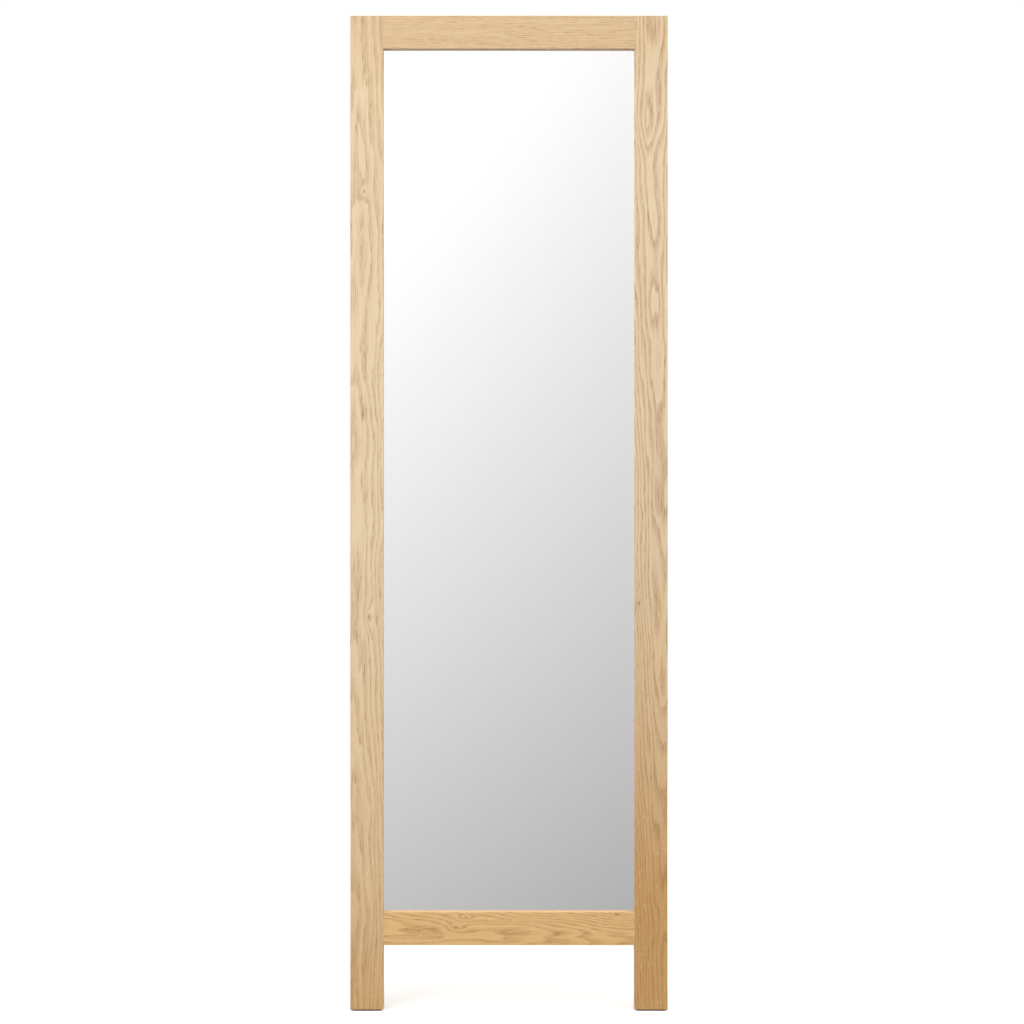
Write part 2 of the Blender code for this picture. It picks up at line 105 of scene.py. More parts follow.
def linear(code):
    """An sRGB hex code as linear red, green, blue."""
    parts = [int(code[place : place + 2], 16) / 255 for place in (0, 2, 4)]
    return tuple(v / 12.92 if v <= 0.04045 else ((v + 0.055) / 1.055) ** 2.4 for v in parts)


def colour_property(name, description, code):
    return FloatVectorProperty(
        name=name, description=description, subtype="COLOR", size=3, min=0, max=1, default=linear(code)
    )


def length_property(name, description, default):
    return FloatProperty(
        name=name, description=description, unit="LENGTH", subtype="DISTANCE", min=0, default=default
    )


class FloorMirrorSizes(bpy.types.PropertyGroup):
    """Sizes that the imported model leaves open."""

    arris: length_property("Arris", "Width of the softened edge of a planed board", 0.5 * MM)
    metal_edge: length_property("Metal edge", "Width of the tumbled edge of sheet steel", 0.25 * MM)
    recess: length_property("Recess", "Width of the cross recess in a screw's head", 0.8 * MM)
    ring: length_property("Ring", "Average width of a growth ring in the oak", 2.6 * MM)
    screw_seed: IntProperty(name="Screw seed", description="Picks how far each screw is turned", default=4)


class FloorMirrorColours(bpy.types.PropertyGroup):
    """Colours of the finishes."""

    # Painted light: the pale oak is the wood's colour as lit high on the frame, and the warm oak its colour
    # in painted shade low down.
    oak_pale_lit: colour_property("Pale oak", "Late wood high on the frame", "D3BD9D")
    oak_warm_shaded: colour_property("Warm oak", "Late wood low on the frame", "B68C57")
    oak_pore: colour_property("Oak pores", "The open pores of the early wood", "8E6236")
    knot: colour_property("Knot", "The middle of a pin knot", "5B3A20")
    silver: colour_property("Silver", "Light thrown back by silvered float glass", "F5F3F4")
    glass_edge: colour_property("Glass edge", "The seamed edge of float glass", "5E8577")
    back_paint: colour_property("Back paint", "The grey paint over the silver", "7C8288")
    hardboard: colour_property("Hardboard", "The pressed face of the backing board", "7A5636")
    zinc: colour_property("Zinc", "Bright zinc plate on the stays and screws", "B9BBBB")
    brass: colour_property("Brass", "Brass plate on the hinges", "C9A45F")
    felt: colour_property("Felt", "Brown wool felt under the feet", "3E342C")
    foam: colour_property("Foam", "White polyethylene foam", "E4E3DF")
    floor: colour_property("Floor", "The pale floor of the studio", "E0DFDD")


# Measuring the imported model.


def bench_of(node):
    """The turn about X that a leaning node was built on, from its broadest face that isn't a side."""
    broad = max(NODES[node].data.polygons, key=lambda face: face.area * (abs(face.normal.x) < 0.5))
    return Matrix.Rotation(atan(broad.normal.z / broad.normal.y), 4, "X")


def box_on(bench, node):
    """Lowest and highest corner of a node, measured square to a bench."""
    to_bench = bench.inverted()
    points = [to_bench @ vertex.co for vertex in NODES[node].data.vertices]
    return Vector(map(min, zip(*points))), Vector(map(max, zip(*points)))


def joint_at(name):
    """The point that a joint turns about."""
    return Vector(next(joint["pos_m"] for joint in frame["joints"] if joint["name"] == name))


FRONT = bench_of("mirror_glass")
REAR = bench_of("rear_leg_left")
LEAN = -FRONT.to_euler().x
REAR_LEAN = REAR.to_euler().x


# Mesh work.


def to_object(name, bm, place=None):
    """A new object with this mesh, moved to its place. The object itself stays at the origin."""
    bmesh.ops.recalc_face_normals(bm, faces=bm.faces)
    mesh = bpy.data.meshes.new(name)
    bm.to_mesh(mesh)
    bm.free()
    if place is not None:
        mesh.transform(place)
    made = bpy.data.objects.new(name, mesh)
    bpy.context.scene.collection.objects.link(made)
    return made


def parallel(edge, axis):
    run = edge.verts[1].co - edge.verts[0].co
    return abs(run[axis]) > 0.99 * run.length


def block(name, low, high, place=None, axis=None, radius=0.0, steps=8):
    """A block between two corners, with the edges along one axis rounded."""
    bm = bmesh.new()
    bmesh.ops.create_cube(bm, size=1.0)
    size = Vector(abs(b - a) for a, b in zip(low, high))
    middle = (Vector(low) + Vector(high)) / 2
    bmesh.ops.scale(bm, vec=size, verts=bm.verts)
    bmesh.ops.translate(bm, vec=middle, verts=bm.verts)
    if axis is not None:
        chosen = [e for e in bm.edges if e.calc_face_angle() > 1 and parallel(e, axis)]
        bmesh.ops.bevel(bm, geom=chosen, offset=radius, segments=steps, affect="EDGES", profile=0.5)
    return to_object(name, bm, place)


def turned(name, outline, place):
    """A round piece about Z from (radius, height) points, moved to its place."""
    bm = bmesh.new()
    points = [bm.verts.new((radius, 0, height)) for radius, height in outline]
    edges = [bm.edges.new(pair) for pair in zip(points, points[1:])]
    whole = {"cent": (0, 0, 0), "axis": (0, 0, 1), "angle": 2 * pi, "steps": ROUND_STEPS}
    bmesh.ops.spin(bm, geom=points + edges, use_merge=True, **whole)
    bmesh.ops.remove_doubles(bm, verts=bm.verts, dist=0.00001)
    return to_object(name, bm, place)


def extruded(name, outline, low, high, place=None):
    """A closed outline of (y, z) points run along X."""
    bm = bmesh.new()
    face = bm.faces.new([bm.verts.new((low, y, z)) for y, z in outline])
    made = bmesh.ops.extrude_face_region(bm, geom=[face])["geom"]
    moved = [item for item in made if isinstance(item, bmesh.types.BMVert)]
    bmesh.ops.translate(bm, vec=(high - low, 0, 0), verts=moved)
    return to_object(name, bm, place)


def aimed(at, towards):
    """The place whose Z points towards a direction."""
    return Matrix.Translation(at) @ Vector(towards).to_track_quat("Z", "Y").to_matrix().to_4x4()


def foot_board(name, low, high, bench, height):
    """A leaning board, made too long and then sawn off level at a height above the floor."""
    piece = block(name, low - Vector((0, 0, SPARE)), high, bench)
    bm = bmesh.new()
    bm.from_mesh(piece.data)
    geometry = bm.verts[:] + bm.edges[:] + bm.faces[:]
    bmesh.ops.bisect_plane(bm, geom=geometry, plane_co=(0, 0, height), plane_no=(0, 0, 1), clear_inner=True)
    bmesh.ops.holes_fill(bm, edges=[edge for edge in bm.edges if edge.is_boundary])
    bm.to_mesh(piece.data)
    bm.free()
    return piece


def boolean(piece, tools, operation):
    for tool in tools:
        step = piece.modifiers.new(operation.lower(), "BOOLEAN")
        step.operation = operation
        step.object = tool
        step.solver = "EXACT"


def settle(piece, edge=0.0, segments=2, limit=30, smooth=True):
    """Turns the modifiers into plain mesh, with the sharp edges softened and the flats kept flat."""
    if edge:
        bevel = piece.modifiers.new("soft edges", "BEVEL")
        bevel.width = edge
        bevel.segments = segments
        bevel.limit_method = "ANGLE"
        bevel.angle_limit = radians(limit)
    graph = bpy.context.evaluated_depsgraph_get()
    mesh = bpy.data.meshes.new_from_object(piece.evaluated_get(graph))
    tools = [step.object for step in piece.modifiers if step.type == "BOOLEAN"]
    piece.modifiers.clear()
    piece.data = mesh
    for tool in tools:
        if tool.name in bpy.data.objects:
            bpy.data.objects.remove(tool)
    if not smooth:
        return piece
    mesh.shade_smooth()
    mesh.set_sharp_from_angle(angle=radians(50))
    weighted = piece.modifiers.new("flat faces", "WEIGHTED_NORMAL")
    weighted.keep_sharp = True
    graph = bpy.context.evaluated_depsgraph_get()
    mesh = bpy.data.meshes.new_from_object(piece.evaluated_get(graph))
    piece.modifiers.clear()
    piece.data = mesh
    return piece


def place_piece(piece, body, material, nodes):
    """Gives a finished piece its finish, its body, and the nodes that it stands for."""
    piece.data.materials.clear()
    piece.data.materials.append(material)
    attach(piece, body)
    if nodes:
        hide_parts(*nodes)
    return piece


# Materials.


def plug(tree, node, inputs):
    """Fills a node's inputs, given in order or by name or number. Each is a value, a socket, or a
    node that is linked by its first live output."""
    for key, value in inputs.items() if isinstance(inputs, dict) else enumerate(inputs):
        if isinstance(value, bpy.types.Node):
            value = next(socket for socket in value.outputs if socket.enabled)
        if isinstance(value, bpy.types.NodeSocket):
            tree.links.new(value, node.inputs[key])
        else:
            node.inputs[key].default_value = value


def add(tree, kind, inputs=(), **settings):
    """Adds a node with its settings and inputs."""
    node = tree.nodes.new(kind)
    for key, value in settings.items():
        setattr(node, key, value)
    plug(tree, node, inputs)
    return node


def new_material(name):
    """An empty material with its output, its shader and the object's own coordinates."""
    material = bpy.data.materials.new(name)
    material.use_nodes = True
    tree = material.node_tree
    tree.nodes.clear()
    shader = add(tree, "ShaderNodeBsdfPrincipled")
    add(tree, "ShaderNodeOutputMaterial", {"Surface": shader})
    place = add(tree, "ShaderNodeTexCoord").outputs["Object"]
    return material, tree, shader, place


def in_millimetres(tree, place, turn=(0, 0, 0), centre=(0, 0, 0)):
    """The object's coordinates in millimetres, turned, then measured from a centre."""
    scaled = Euler(turn).to_matrix() @ (Vector(centre) / MM)
    inputs = {"Vector": place, "Rotation": turn, "Scale": (1 / MM,) * 3, "Location": -scaled}
    return add(tree, "ShaderNodeMapping", inputs)


def stretched(tree, place, sizes):
    """Coordinates counted in cells of these sizes."""
    return add(tree, "ShaderNodeMapping", {"Vector": place, "Scale": [1 / size for size in sizes]})


# How each board was cut: where the pith lies from the board's middle, across and behind the face in
# millimetres, how far the log is skewed to the board in degrees, which stretch of the log it is,
# how strong its figure is, where its painted falloff of light and its warm tone start, and how its colour
# leans.
Cut = namedtuple("Cut", "pith skew stretch figure warm tint")
CUTS = {
    "stile_left": Cut((-14, 74), (0.6, -0.5), 0, 0.95, -0.04, (1, 1, 0.96)),
    "stile_right": Cut((12, 46), (-0.9, 1.1), 2300, 1.3, 0.12, (1, 1, 0.98)),
    "top_rail": Cut((-60, 30), (0.5, 0.3), 5100, 0.8, 0.4, (1, 0.97, 0.90)),
    "bottom_rail": Cut((6, 38), (2.2, -2.4), 7300, 1.2, -0.07, (1.1, 1.0, 0.74)),
    "rear_leg_left": Cut((22, 60), (0.5, 0.5), 9100, 0.8, 0.0, (1, 0.98, 0.92)),
    "rear_leg_right": Cut((-20, 66), (-0.6, 0.4), 11900, 0.8, 0.05, (1.02, 0.97, 0.88)),
    "rear_crossbar_upper": Cut((8, 52), (1.2, 0.9), 14300, 0.9, 0.2, (1, 0.96, 0.86)),
    "rear_crossbar_lower": Cut((-9, 58), (-1.1, 0.8), 17100, 0.9, -0.05, (0.98, 0.97, 0.9)),
}
# Pin knots: across and along from the board's middle, and radius, in millimetres.
KNOTS = {
    "stile_left": ((3, -158, 2.0), (-4, 486, 1.4)),
    "stile_right": ((-18, -137, 2.2),),
    "bottom_rail": ((-2, -80, 2.2), (-17, -65, 1.5), (-22, 163, 2.2)),
    "rear_leg_right": ((5, 210, 2.0),),
}


# Noise in the oak: cells across, behind and along the board in millimetres, detail, and a shift
# that keeps each apart. Pores 0.3 mm wide are drawn at 0.9 mm, and up to 18 mm long, so that
# they show.
OAK_NOISE = {
    "waves": ((70, 70, 260), 2.0, 0.0),
    "uneven": ((9, 9, 120), 1.0, 11.0),
    "pores": ((0.9, 0.9, 18), 1.5, 5.0),
    "fibres": ((1.6, 1.6, 90), 3.0, 8.0),
    "bands": ((11, 11, 420), 2.0, 2.0),
    "flecks": ((5, 1.2, 9), 1.0, 15.0),
}


def oak(board, turn, centre, height):
    """Planed oak with a matt oil. Flat-sawn: growth rings round a pith behind the board come out
    as cathedrals on the face, straight lines at the edges and arcs on the end grain. The open
    pores of the early wood are the dark dashes, and the surface is duller in them."""
    colours = bpy.context.scene.floor_mirror_colours
    cut = CUTS[board]
    material, tree, shader, place = new_material(f"oiled oak, {board.replace('_', ' ')}")
    node = partial(add, tree)
    grain = in_millimetres(tree, place, turn, centre)
    noise = {}
    for use, (cells, detail, shift) in OAK_NOISE.items():
        moved = node(VECTOR, (stretched(tree, grain, cells), (shift, 3.7, cut.stretch / 97)))
        noise[use] = node("ShaderNodeTexNoise", {"Vector": moved, "Scale": 1.0, "Detail": detail})

    radius, dark = log_radius(node, grain, noise["waves"], board)
    # Rings, wider and narrower by turns. The pore zone starts at once and dies away slowly.
    count = node(MATH, (radius, bpy.context.scene.floor_mirror_sizes.ring / MM), operation="DIVIDE")
    count = node(MATH, (noise["uneven"], 1.3, count), operation="MULTIPLY_ADD")
    through = node(MATH, (count,), operation="FRACT")
    opens = node(RAMP, (through, 0.0, 0.16, 0, 1), interpolation_type="SMOOTHSTEP")
    closes = node(RAMP, (through, 0.16, 0.85, 1, 0), interpolation_type="SMOOTHSTEP")
    early = node(MATH, (opens, closes), operation="MULTIPLY")
    zone = node(MATH, (early, 0.8, 0.2), operation="MULTIPLY_ADD")
    pore = node(MATH, (node(RAMP, (noise["pores"], 0.52, 0.66)), zone), operation="MULTIPLY")

    shade = node(MATH, (early, 0.24 * cut.figure), operation="MULTIPLY")
    streaks = node(MATH, (noise["fibres"], 0.5), operation="SUBTRACT")
    shade = node(MATH, (streaks, 0.40, shade), operation="MULTIPLY_ADD")
    shade = node(MATH, (pore, 0.42, shade), operation="MULTIPLY_ADD", use_clamp=True)
    # Rays: short pale flecks, where the face runs near the pith's radius.
    flecks = node(MATH, (node(RAMP, (noise["flecks"], 0.62, 0.75)), 0.10), operation="MULTIPLY")
    layers = [(shade, colours.oak_pore), (flecks, linear("F3E3C6"))]
    if dark is not None:
        layers.append((node(MATH, (dark, 0.6), operation="MULTIPLY"), colours.knot))
    coloured = board_colour(node, place, noise["bands"], cut, height)
    for part, colour in layers:
        coloured = node(MIX, {0: part, 6: coloured, 7: (*colour, 1)}, data_type="RGBA")

    relief = node(MATH, (noise["fibres"], 0.3), operation="MULTIPLY")
    relief = node(MATH, (relief, pore), operation="SUBTRACT")
    bump = node("ShaderNodeBump", {"Height": relief, "Strength": 0.35, "Distance": 0.1 * MM})
    rough = node(MATH, (pore, 0.25, 0.46), operation="MULTIPLY_ADD")
    plug(tree, shader, {"Base Color": coloured, "Roughness": rough, "Normal": bump})
    plug(tree, shader, {"IOR": 1.47, "Specular IOR Level": 0.35})
    return material


def log_radius(node, grain, waves, board):
    """How far each point of a board lay from the pith of its log, and how deep it is in a knot, if
    the board has any."""
    cut = CUTS[board]
    # The log is skewed to the board, and bent by slow waves along the trunk.
    bend = node(VECTOR, (waves.outputs["Color"], (0.5, 0.5, 0.5)), operation="SUBTRACT")
    amount = 16.0 * cut.figure
    bend = node(VECTOR, (bend, (amount, amount, 0)), operation="MULTIPLY")
    across, behind = cut.pith
    skew = [radians(angle) for angle in cut.skew]
    inputs = {"Vector": node(VECTOR, (grain, bend)), "Rotation": (*skew, 0)}
    log = node("ShaderNodeMapping", {**inputs, "Location": (-across, -behind, 0)})
    radius = node(VECTOR, (node(VECTOR, (log, (1, 1, 0)), operation="MULTIPLY"),), operation="LENGTH")
    # Knots push the rings aside and darken in the middle.
    dark = None
    for knot_across, knot_along, size in KNOTS.get(board, ()):
        off = node(VECTOR, (grain, (knot_across, 0, knot_along)), operation="SUBTRACT")
        off = node(VECTOR, (off, (1, 0, 0.45)), operation="MULTIPLY")
        off = node(VECTOR, (off,), operation="LENGTH")
        swell = node(MATH, (off, -0.32 / size), operation="MULTIPLY")
        swell = node(MATH, (swell,), operation="EXPONENT")
        radius = node(MATH, (swell, 3.4 * size, radius), operation="MULTIPLY_ADD")
        core = node(MATH, (off, -1 / size, 1.15), operation="MULTIPLY_ADD", use_clamp=True)
        dark = core if dark is None else node(MATH, (dark, core), operation="MAXIMUM")
    return radius, dark


def board_colour(node, place, bands, cut, height):
    """The wood's colour with painted light in it: paler high up, and warmer and darker towards the floor,
    where painted shade stands in for the light falling off, and warmer near the sawn tops, where the oil
    soaks in deeper."""
    colours = bpy.context.scene.floor_mirror_colours
    level = node("ShaderNodeSeparateXYZ", (place,)).outputs["Z"]
    floor, top = height
    # Painted light: the mix leans from the lit pale colour at the top to the shaded warm colour at the
    # floor, moved per board, with random bands of tone on top.
    warm = node(RAMP, (level, top, floor, cut.warm, 1 + cut.warm), clamp=False)
    warm = node(MATH, (warm, 0.0), operation="MAXIMUM")
    warm = node(MATH, (warm, 4.0), operation="POWER")
    bands = node(MATH, (bands, 0.5), operation="SUBTRACT")
    warm = node(MATH, (bands, 0.4, warm), operation="MULTIPLY_ADD")
    soaked = (level, top - 130 * MM, top - 30 * MM, 0, 0.24)
    tops = node(RAMP, soaked, interpolation_type="SMOOTHSTEP")
    warm = node(MATH, (warm, tops), operation="ADD", use_clamp=True)
    ends = {6: (*colours.oak_pale_lit, 1), 7: (*colours.oak_warm_shaded, 1)}
    body = node(MIX, {0: warm, **ends}, data_type="RGBA")
    return node(VECTOR, (body, cut.tint), operation="MULTIPLY")


def silvered_glass():
    """4 mm float glass with silver behind it: nearly all light comes back, sharp and all but
    colourless."""
    colours = bpy.context.scene.floor_mirror_colours
    material, tree, shader, place = new_material("silvered float glass")
    # Float glass waves by a hair over a hand's breadth.
    cells = stretched(tree, in_millimetres(tree, place), (160, 160, 240))
    wave = add(tree, "ShaderNodeTexNoise", {"Vector": cells, "Scale": 1.0})
    bump = add(tree, "ShaderNodeBump", {"Height": wave, "Strength": 0.02, "Distance": 0.1 * MM})
    plug(tree, shader, {"Base Color": (*colours.silver, 1), "Metallic": 1.0, "Roughness": 0.0})
    plug(tree, shader, {"Normal": bump})
    return material


def glass_edge():
    """The seamed edge of float glass, ground matt: deep green, because one looks along the pane."""
    colours = bpy.context.scene.floor_mirror_colours
    material, tree, shader, place = new_material("seamed float glass edge")
    cells = stretched(tree, in_millimetres(tree, place), (0.8, 0.8, 0.8))
    grit = add(tree, "ShaderNodeTexNoise", {"Vector": cells, "Scale": 1.0})
    bump = add(tree, "ShaderNodeBump", {"Height": grit, "Strength": 0.3, "Distance": 0.1 * MM})
    plug(tree, shader, {"Base Color": (*colours.glass_edge, 1), "Roughness": 0.35, "IOR": 1.52})
    plug(tree, shader, {"Normal": bump})
    return material


def speckled(name, colour, second, cells, contrast, rough, relief, metallic=0.0, detail=3.0):
    """A surface with one grain: its second colour mixed in by noise of a cell size in millimetres."""
    material, tree, shader, place = new_material(name)
    node = partial(add, tree)
    place = stretched(tree, in_millimetres(tree, place), cells)
    noise = node("ShaderNodeTexNoise", {"Vector": place, "Scale": 1.0, "Detail": detail})
    spread = node(RAMP, (noise, 0.3, 0.7))
    part = node(MATH, (spread, contrast), operation="MULTIPLY")
    mixed = node(MIX, {0: part, 6: (*colour, 1), 7: (*linear(second), 1)}, data_type="RGBA")
    dull = node(RAMP, (spread, 0, 1, *rough))
    bump = node("ShaderNodeBump", {"Height": noise, "Strength": relief, "Distance": 0.2 * MM})
    plug(tree, shader, {"Base Color": mixed, "Roughness": dull, "Normal": bump, "Metallic": metallic})
    return material


def finish(name):
    """One of the plain finishes, made the first time that it is asked for."""
    colours = bpy.context.scene.floor_mirror_colours
    made = bpy.data.materials.get(name)
    if made:
        return made
    if name == "zinc plated steel":
        # Bright zinc over cold-rolled strip: a fine draw grain along the strip, bluish grey.
        return speckled(name, colours.zinc, "8F9294", (6, 0.5, 0.5), 0.5, (0.24, 0.38), 0.06, 1.0)
    if name == "brass plated steel":
        # Thin bright brass over steel, tumbled: soft gloss with faint cloudy dulling.
        return speckled(name, colours.brass, "A9803D", (3, 3, 3), 0.5, (0.20, 0.36), 0.05, 1.0)
    if name == "wool felt":
        # Pressed wool: matt, with a fibre about 0.6 mm across in the pile.
        made = speckled(name, colours.felt, "6B5C4E", (0.6, 0.6, 0.6), 0.6, (0.9, 1.0), 0.8)
        made.node_tree.nodes["Principled BSDF"].inputs["Sheen Weight"].default_value = 0.4
        return made
    if name == "polyethylene foam":
        # Closed-cell foam strip: matt white with cells about 1 mm across.
        return speckled(name, colours.foam, "C6C5C0", (1, 1, 1), 0.6, (0.75, 0.9), 0.5)
    if name == "hardboard":
        # Wet-pressed wood fibre: smooth brown face with fibres and darker flecks.
        return speckled(name, colours.hardboard, "4F3420", (2.2, 2.2, 7), 0.75, (0.50, 0.68), 0.25, 0.0, 6.0)
    if name == "silver backing paint":
        # Two coats of grey paint, curtain coated: even, half matt.
        return speckled(name, colours.back_paint, "6C7278", (20, 20, 20), 0.4, (0.45, 0.55), 0.02)
    # Steamed beech: pinkish, with short dark ray flecks along the grain.
    return speckled("steamed beech", linear("C39468"), "A5764C", (4, 0.8, 0.8), 0.8, (0.5, 0.6), 0.15)


# Screws by geometry nodes.


SCREW_SIZES = ("Head Radius", "Head Height", "Shank Radius", "Shank Length", "Recess Width")


def screw_tree(name, material, domed):
    """Screws on the points of a mesh: a domed or countersunk head with a cross recess, and a
    shank. Each is aimed by the direction stored on its point and turned about itself by chance."""
    tree = bpy.data.node_groups.new(name, "GeometryNodeTree")
    node = partial(add, tree)
    tree.interface.new_socket("Seats", in_out="INPUT", socket_type="NodeSocketGeometry")
    for title in SCREW_SIZES:
        tree.interface.new_socket(title, in_out="INPUT", socket_type="NodeSocketFloat")
    tree.interface.new_socket("Seed", in_out="INPUT", socket_type="NodeSocketInt")
    tree.interface.new_socket("Screws", in_out="OUTPUT", socket_type="NodeSocketGeometry")
    given = node("NodeGroupInput").outputs
    radius, height, shank_radius, length, recess = (given[title] for title in SCREW_SIZES)

    def raised(part, by):
        """A part moved up its own axis."""
        move = node("ShaderNodeCombineXYZ", {"Z": by})
        return node("GeometryNodeTransform", {"Geometry": part, "Translation": move})

    if domed:
        # The dome is the part of a ball that stands inside the head's cylinder. A ball through
        # the head's foot would take 2 here, and less leaves a straight rim.
        squares = node(MATH, (radius, radius), operation="MULTIPLY")
        squares = node(MATH, (height, height, squares), operation="MULTIPLY_ADD")
        across = node(MATH, (height, 1.75), operation="MULTIPLY")
        ball_radius = node(MATH, (squares, across), operation="DIVIDE")
        ball = node("GeometryNodeMeshUVSphere", {"Radius": ball_radius, "Segments": 48, "Rings": 96})
        ball = raised(ball, node(MATH, (height, ball_radius), operation="SUBTRACT"))
        depth = node(MATH, (height, 2.0), operation="MULTIPLY")
        drum = node("GeometryNodeMeshCylinder", {"Radius": radius, "Depth": depth, "Vertices": 40})
        head = node("GeometryNodeMeshBoolean", {"Mesh": ball}, operation="INTERSECT", solver="EXACT")
        plug(tree, head, {"Mesh": raised(drum, height)})
        top, drop = height, length
    else:
        inputs = {"Radius Top": radius, "Radius Bottom": shank_radius, "Depth": height, "Vertices": 40}
        head = node("GeometryNodeMeshCone", inputs)
        head = raised(head, node(MATH, (height, -1.0), operation="MULTIPLY"))
        top, drop = 0.0, node(MATH, (height, 0.5, length), operation="MULTIPLY_ADD")
    # The recess: two crossed bars sunk in the head by 0.7 of its height.
    deep = node(MATH, (height, 1.4), operation="MULTIPLY")
    long = node(MATH, (radius, 1.15), operation="MULTIPLY")
    cut = node("GeometryNodeMeshBoolean", (head,), operation="DIFFERENCE", solver="EXACT")
    for size in ((long, recess, deep), (recess, long, deep)):
        bar = node("GeometryNodeMeshCube", {"Size": node("ShaderNodeCombineXYZ", size)})
        plug(tree, cut, {"Mesh 2": raised(bar, top)})
    tip = node(MATH, (shank_radius, 0.3), operation="MULTIPLY")
    inputs = {"Radius Top": shank_radius, "Radius Bottom": tip, "Depth": length, "Vertices": 16}
    shank = raised(node("GeometryNodeMeshCone", inputs), node(MATH, (drop, -1.0), operation="MULTIPLY"))
    screw = node("GeometryNodeJoinGeometry", (cut,))
    plug(tree, screw, (shank,))

    inputs = {"Seed": given["Seed"], "Min": (0, 0, 0), "Max": (0, 0, pi)}
    spin = node("FunctionNodeRandomValue", inputs, data_type="FLOAT_VECTOR")
    turn = node("FunctionNodeEulerToRotation", {"Euler": spin})
    stored = node("GeometryNodeInputNamedAttribute", {"Name": "aim"}, data_type="FLOAT_VECTOR")
    aim = node("FunctionNodeAlignRotationToVector", {"Vector": stored}, axis="Z")
    aim = node("FunctionNodeRotateRotation", (aim, turn), rotation_space="LOCAL")
    inputs = {"Points": given["Seats"], "Instance": screw, "Rotation": aim}
    real = node("GeometryNodeRealizeInstances", (node("GeometryNodeInstanceOnPoints", inputs),))
    node("NodeGroupOutput", (node("GeometryNodeSetMaterial", {"Geometry": real, "Material": material}),))
    return tree


def seats(name, spots):
    """An object of single points, each with the direction that its screw faces."""
    mesh = bpy.data.meshes.new(name)
    mesh.from_pydata([at for at, _ in spots], [], [])
    aims = mesh.attributes.new("aim", "FLOAT_VECTOR", "POINT")
    for item, (_, towards) in zip(aims.data, spots):
        item.vector = towards
    made = bpy.data.objects.new(name, mesh)
    bpy.context.scene.collection.objects.link(made)
    return made


def screws(name, spots, tree, sizes, body, nodes):
    """The screws of one body, as one plain mesh."""
    piece = seats(name, spots)
    points = piece.modifiers.new("screws", "NODES")
    points.node_group = tree
    for item in tree.interface.items_tree:
        if item.in_out == "INPUT" and item.name in sizes:
            points[item.identifier] = sizes[item.name]
    graph = bpy.context.evaluated_depsgraph_get()
    mesh = bpy.data.meshes.new_from_object(piece.evaluated_get(graph))
    piece.modifiers.clear()
    piece.data = mesh
    mesh.shade_smooth()
    mesh.set_sharp_from_angle(angle=radians(35))
    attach(piece, body)
    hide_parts(*nodes)
    return piece


# The pieces.


def pockets():
    """The stepped recess in the back of the frame, as two hidden tools."""
    back = box_on(FRONT, "stile_left")[1].y
    tools = []
    for node, play in (("mirror_glass", GLASS_PLAY), ("backing_board", BOARD_PLAY)):
        low, high = box_on(FRONT, node)
        low -= Vector((play, GAP, play))
        high += Vector((play, 0, play))
        high.y = back + CUT_PAST
        tools.append(block(node + " pocket", low, high, FRONT))
    return tools


class MakeFrameBoards(bpy.types.Operator):
    """Make the two stiles and two rails round the mirror"""

    bl_idname = "floor_mirror.frame_boards"
    bl_label = "Frame Boards"

    def execute(self, context):
        sizes = context.scene.floor_mirror_sizes
        reach = (CAD_BOX[0].z, CAD_BOX[1].z)
        for node in ("stile_left", "stile_right", "top_rail", "bottom_rail"):
            low, high = box_on(FRONT, node)
            along_x = node.endswith("rail")
            if along_x:
                low.x, high.x = low.x - JOINT, high.x + JOINT
                board = block("oak_" + node, low, high, FRONT)
            else:
                board = foot_board("oak_" + node, low, high, FRONT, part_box(node)[0].z)
            boolean(board, pockets(), "DIFFERENCE")
            settle(board, sizes.arris, 3)
            turn = (LEAN, radians(-90) if along_x else 0, 0)
            centre = FRONT @ Vector(((low.x + high.x) / 2, low.y, (low.z + high.z) / 2))
            place_piece(board, "mirror_frame", oak(node, turn, centre, reach), [node])
        return {"FINISHED"}


class MakeRearStand(bpy.types.Operator):
    """Make the legs and crossbars of the folding stand"""

    bl_idname = "floor_mirror.rear_stand"
    bl_label = "Rear Stand"

    def execute(self, context):
        sizes = context.scene.floor_mirror_sizes
        reach = (CAD_BOX[0].z, CAD_BOX[1].z)
        for name, _ in SIDES:
            node = "rear_leg_" + name
            low, high = box_on(REAR, node)
            leg = foot_board("oak_" + node, low, high, REAR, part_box(node)[0].z)
            settle(leg, sizes.arris, 3)
            centre = REAR @ Vector(((low.x + high.x) / 2, high.y, (low.z + high.z) / 2))
            wood = oak(node, (-REAR_LEAN, 0, 0), centre, reach)
            place_piece(leg, "rear_frame", wood, [node])
        inner = box_on(REAR, "rear_leg_right")[0].x
        for name in ("upper", "lower"):
            node = "rear_crossbar_" + name
            low, high = box_on(REAR, node)
            low.x, high.x = GAP - inner, inner - GAP
            bar = block("oak_" + node, low, high, REAR, 0, 2 * MM, 4)
            settle(bar, 0.4 * MM, 2)
            centre = REAR @ Vector((0, high.y, (low.z + high.z) / 2))
            turn = (-REAR_LEAN, radians(-90), 0)
            place_piece(bar, "rear_frame", oak(node, turn, centre, reach), [node])
        return {"FINISHED"}


class MakeGlass(bpy.types.Operator):
    """Make the mirror glass with its seamed edge and painted back"""

    bl_idname = "floor_mirror.glass"
    bl_label = "Mirror Glass"

    def execute(self, context):
        low, high = box_on(FRONT, "mirror_glass")
        pane = settle(block("silvered_mirror_glass", low, high, FRONT), 0.6 * MM, 1, smooth=False)
        place_piece(pane, "mirror_frame", silvered_glass(), ["mirror_glass"])
        pane.data.materials.append(glass_edge())
        pane.data.materials.append(finish("silver backing paint"))
        front = FRONT @ Vector((0, -1, 0))
        for face in pane.data.polygons:
            facing = face.normal.dot(front)
            face.material_index = 0 if facing > 0.99 else 2 if facing < -0.99 else 1
        return {"FINISHED"}


